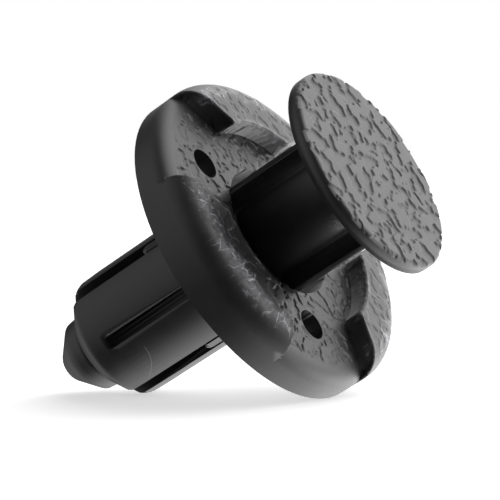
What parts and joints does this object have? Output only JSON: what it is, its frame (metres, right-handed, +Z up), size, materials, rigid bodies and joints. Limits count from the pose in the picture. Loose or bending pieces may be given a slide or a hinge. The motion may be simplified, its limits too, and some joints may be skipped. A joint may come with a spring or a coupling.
{
  "type": "plastic push rivet",
  "caption": "Plastic push rivet: a slotted grommet with a notched domed flange, and a round-headed winged pin that presses in to lock it in a panel hole.",
  "frame": {"origin": "middle of the bottom of the bounding box, on the ground that the lying rivet touches with its flange rim and a leg's end", "axes": "+Z up; +X along the ground, the way the pin's head points; the rivet's own axis rises from +X by about 29 degrees, and the flange is turned 13 degrees about that axis"},
  "size_m": [0.0246, 0.02, 0.0188],
  "materials": {
    "grommet_plastic": "satin black, grained on the recess floor and on the raised lobes",
    "pin_plastic": "satin black, leather grain on the head's top"
  },
  "bodies": {
    "grommet": {"grommet": "grommet_plastic"},
    "push_pin": {"push_pin": "pin_plastic"}
  },
  "joints": [
    {"name": "pin_press", "type": "slide", "parent": "grommet", "child": "push_pin", "axis": [-0.8741, 0, -0.4858], "range_m": [0, 0.0063]}
  ]
}
